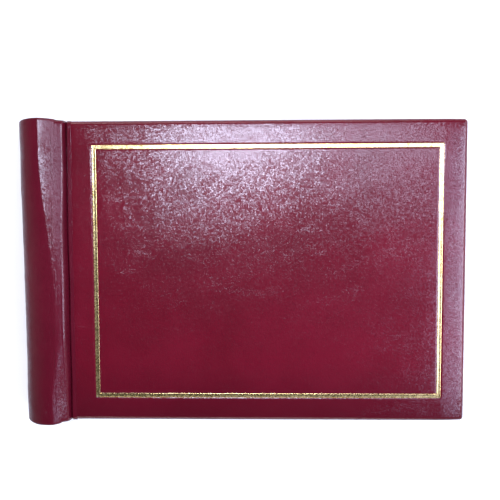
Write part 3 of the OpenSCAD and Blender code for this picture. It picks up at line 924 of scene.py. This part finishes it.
def strip(name, u, ys, upper, lower):
    # a cloth strip: its upper and lower faces over the same grid, joined all round
    across = np.concatenate([u, u[:, ::-1]], 1)
    rings = np.stack([across + originX, ys + 0 * across, np.concatenate([upper, lower[:, ::-1]], 1)], -1)
    rows, cols = across.shape
    index = np.arange(cols)
    half = cols // 2
    cap = np.stack([index[:half - 1], index[1:half], index[::-1][1:half], index[::-1][:half - 1]], -1)
    faces = [gridFaces(rows, cols, True), cap[:, ::-1], cap + (rows - 1) * cols]
    return meshObject(name, rings.reshape(-1, 3) * mm, faces)


def frontCrease():
    # the leather from the roll to the front cover: the roll's sloping top and the cover's top run
    # into each other, with a thin ridge, less a narrow valley; both are bell curves across
    shape = creaseShape
    halfY = roll["halfY"] - shape["endGap"]
    ys = np.linspace(-halfY, halfY, shape["rows"])[:, None]
    share = (ys / halfY + 1) / 2
    u = np.concatenate([np.linspace(shape["start"], shape["bendStart"], shape["startSteps"], endpoint=False),
                        np.linspace(shape["bendStart"], shape["bendEnd"], shape["bendSteps"], endpoint=False),
                        np.linspace(shape["bendEnd"], shape["end"], shape["endSteps"])])[None, :]
    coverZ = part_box("front_leather")[1][2] / mm
    coverZ = coverZ + coverTop(u + originX, ys, u - shape["coverStart"], coverPad["frontSeed"], False)
    wander = shape["wander"] * waves(ys, 0 * ys, shape["seed"], shape["wanderLength"])
    blend = smoothStep((u - shape["valley"] - wander + shape["blendAhead"]) / shape["blendSpan"])
    towardsHead = smoothStep((share - shape["headFrom"]) / shape["headSpan"])
    ridgeU = shape["ridgeTail"] + (shape["ridgeHead"] - shape["ridgeTail"]) * towardsHead
    ridge = shape["ridgeHeight"] * np.exp(-((u - ridgeU - 0.5 * wander) / shape["ridgeWidth"]) ** 2)
    upper = (rollTop(u, share) + ridge) * (1 - blend) + coverZ * blend
    change = shape["depthChange"] * waves(ys, 0 * ys, shape["seed"] + 1, shape["depthLength"])
    deep = shape["valleyDepth"] * (1 + change)
    upper = upper - deep * np.exp(-((u - shape["valley"] - wander) / shape["valleyWidth"]) ** 2)
    edge = smoothStep((u - shape["start"]) / shape["startFade"])
    edge = edge * smoothStep((shape["end"] - u) / shape["endFade"])
    upper = upper + shape["lift"] * edge - shape["sink"] * (1 - edge)
    fade = smoothStep((halfY - np.abs(ys)) / shape["endReach"])
    upper = upper - shape["endDip"] * (1 - fade)
    wall = shape["wall"] * (1 - shape["thinning"] * smoothStep((u - shape["thinFrom"]) / shape["thinSpan"]))
    return strip("frontCrease", u + 0 * ys, ys, upper, upper - wall)


def backCrease():
    # the groove under the back hinge: a flat line with a shallow groove in it, one wave of a cosine
    shape = creaseShape
    halfY = roll["halfY"] - shape["endGap"]
    ys = np.linspace(-halfY, halfY, shape["backRows"])[:, None]
    u = np.linspace(shape["backStart"], shape["backEnd"], shape["backSteps"])[None, :]
    bend = np.clip((u - shape["grooveAt"]) / shape["grooveHalf"], -1, 1)
    lower = shape["backLift"] + shape["groove"] * 0.5 * (1 + np.cos(bend * math.pi)) + 0 * ys
    return strip("backCrease", u + 0 * ys, ys, lower + shape["wall"], lower)


frontCreasePiece = finishPiece(frontCrease(), "spineLeather", "wrap", None, "front_hinge_cloth")
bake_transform(frontCreasePiece)
backCreasePiece = finishPiece(backCrease(), "spineLeather", "wrap", None)
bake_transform(backCreasePiece)
print("hinge creases laid")


stageSet = {  # metres
    "floorSize": 6.0,
    "floorColour": (0.90, 0.91, 0.88),
    "floorRough": 0.9,
    "floorSpecular": 0.1,
    "lift": 0.22,  # glow of the floor in the camera's sight only
    "floorGap": 0.0002,
}
lampSet = {
    "window": {"place": (-0.045, 0.205, 0.90), "target": (-0.01, 0.03, 0.02), "size": (0.27, 0.185),
               "power": 5.2, "colour": (0.72, 0.76, 1.0)},
    "ceiling": {"place": (0.26, 0.22, 0.90), "target": (0.06, 0.03, 0.02), "size": (0.30, 0.24),
                "power": 1.9, "colour": (0.74, 0.72, 1.0)},
    "rightWindow": {"place": (0.95, -0.03, 0.72), "target": (0.05, 0.0, 0.02), "size": (0.7, 0.6),
                    "power": 14.0, "colour": (0.68, 0.74, 1.0)},
    "rightBand": {"place": (0.60, -0.12, 0.90), "target": (0.30, -0.12, 0.02), "size": (0.72, 0.28),
                  "power": 2.9, "colour": (0.62, 0.64, 1.0)},
    "headFill": {"place": (-0.2, 1.2, 0.55), "target": (0.0, 0.0, 0.02), "size": (1.2, 0.4),
                 "power": 5.0, "colour": (1.0, 0.95, 0.93)},
    "tailFill": {"place": (-0.2, -1.2, 0.50), "target": (0.0, 0.0, 0.02), "size": (1.2, 0.4),
                 "power": 5.0, "colour": (1.0, 0.94, 0.90)},
}
roomSet = {"wallLight": (0.55, 0.55, 0.58), "zenithLight": (0.05, 0.05, 0.06), "strength": 0.9,
           "wallTop": 0.25, "zenith": 0.80}  # heights on the sky's sphere


def buildFloor():
    size, drop = stageSet["floorSize"], -stageSet["floorGap"]
    corners = np.array([[-size, -size, drop], [size, -size, drop], [size, size, drop], [-size, size, drop]])
    floor = meshObject("floor", corners, [np.array([[0, 1, 2, 3]])], False)
    made, tree, shader = material("paleFloor", Roughness=stageSet["floorRough"],
                                  Specular_IOR_Level=stageSet["floorSpecular"],
                                  Base_Color=stageSet["floorColour"])
    path = tree.nodes.new("ShaderNodeLightPath")
    glow = tree.nodes.new("ShaderNodeEmission")
    glow.inputs["Color"].default_value = (1, 1, 1, 1)
    seen = mathNode(tree, "MULTIPLY", path.outputs["Is Camera Ray"], stageSet["lift"])
    link(tree, seen, glow.inputs["Strength"])
    both = tree.nodes.new("ShaderNodeAddShader")
    link(tree, shader.outputs[0], both.inputs[0])
    link(tree, glow.outputs[0], both.inputs[1])
    link(tree, both.outputs[0], tree.nodes["Material Output"].inputs["Surface"])
    floor.data.materials.append(made)


def buildLamps():
    for name, lamp in lampSet.items():
        data = bpy.data.lights.new(name, "AREA")
        data.shape = "RECTANGLE"
        data.size, data.size_y = lamp["size"]
        data.energy = lamp["power"]
        data.color = lamp["colour"]
        obj = bpy.data.objects.new(name, data)
        obj.location = lamp["place"]
        aim = Vector(lamp["target"]) - Vector(lamp["place"])
        obj.rotation_euler = aim.to_track_quat("-Z", "Y").to_euler()
        bpy.context.scene.collection.objects.link(obj)


def buildRoom():
    # a room with pale walls and a dim ceiling: the light fades from the horizon to the zenith
    world = bpy.data.worlds.new("softRoom")
    bpy.context.scene.world = world
    world.use_nodes = True
    tree = world.node_tree
    coords = tree.nodes.new("ShaderNodeTexCoord")
    split = tree.nodes.new("ShaderNodeSeparateXYZ")
    link(tree, coords.outputs["Generated"], split.inputs[0])
    rise = rangeNode(tree, split.outputs["Z"], roomSet["wallTop"], roomSet["zenith"])
    shade = tree.nodes["Background"]
    link(tree, mixColour(tree, rise, roomSet["wallLight"], roomSet["zenithLight"]), shade.inputs["Color"])
    shade.inputs["Strength"].default_value = roomSet["strength"]


buildFloor()
buildLamps()
buildRoom()
print("stage lit")


cameraSet = {
    "place": (0.01186, 0.03173, 0.34928),
    "turn": (-3.441, 1.347, -0.229),  # degrees
    "focal": 600.0,  # in pixels of an image this wide:
    "width": 500.0,
    "sensor": 36.0,
    "near": 0.01,
}


def buildCamera():
    data = bpy.data.cameras.new("viewCamera")
    data.sensor_fit = "HORIZONTAL"
    data.sensor_width = cameraSet["sensor"]
    data.lens = cameraSet["focal"] / cameraSet["width"] * cameraSet["sensor"]
    data.clip_start = cameraSet["near"]
    camera = bpy.data.objects.new("viewCamera", data)
    camera.location = cameraSet["place"]
    camera.rotation_euler = [math.radians(v) for v in cameraSet["turn"]]
    bpy.context.scene.collection.objects.link(camera)
    bpy.context.scene.camera = camera


buildCamera()
print("camera placed")
bpy.context.scene.view_settings.view_transform = "Standard"
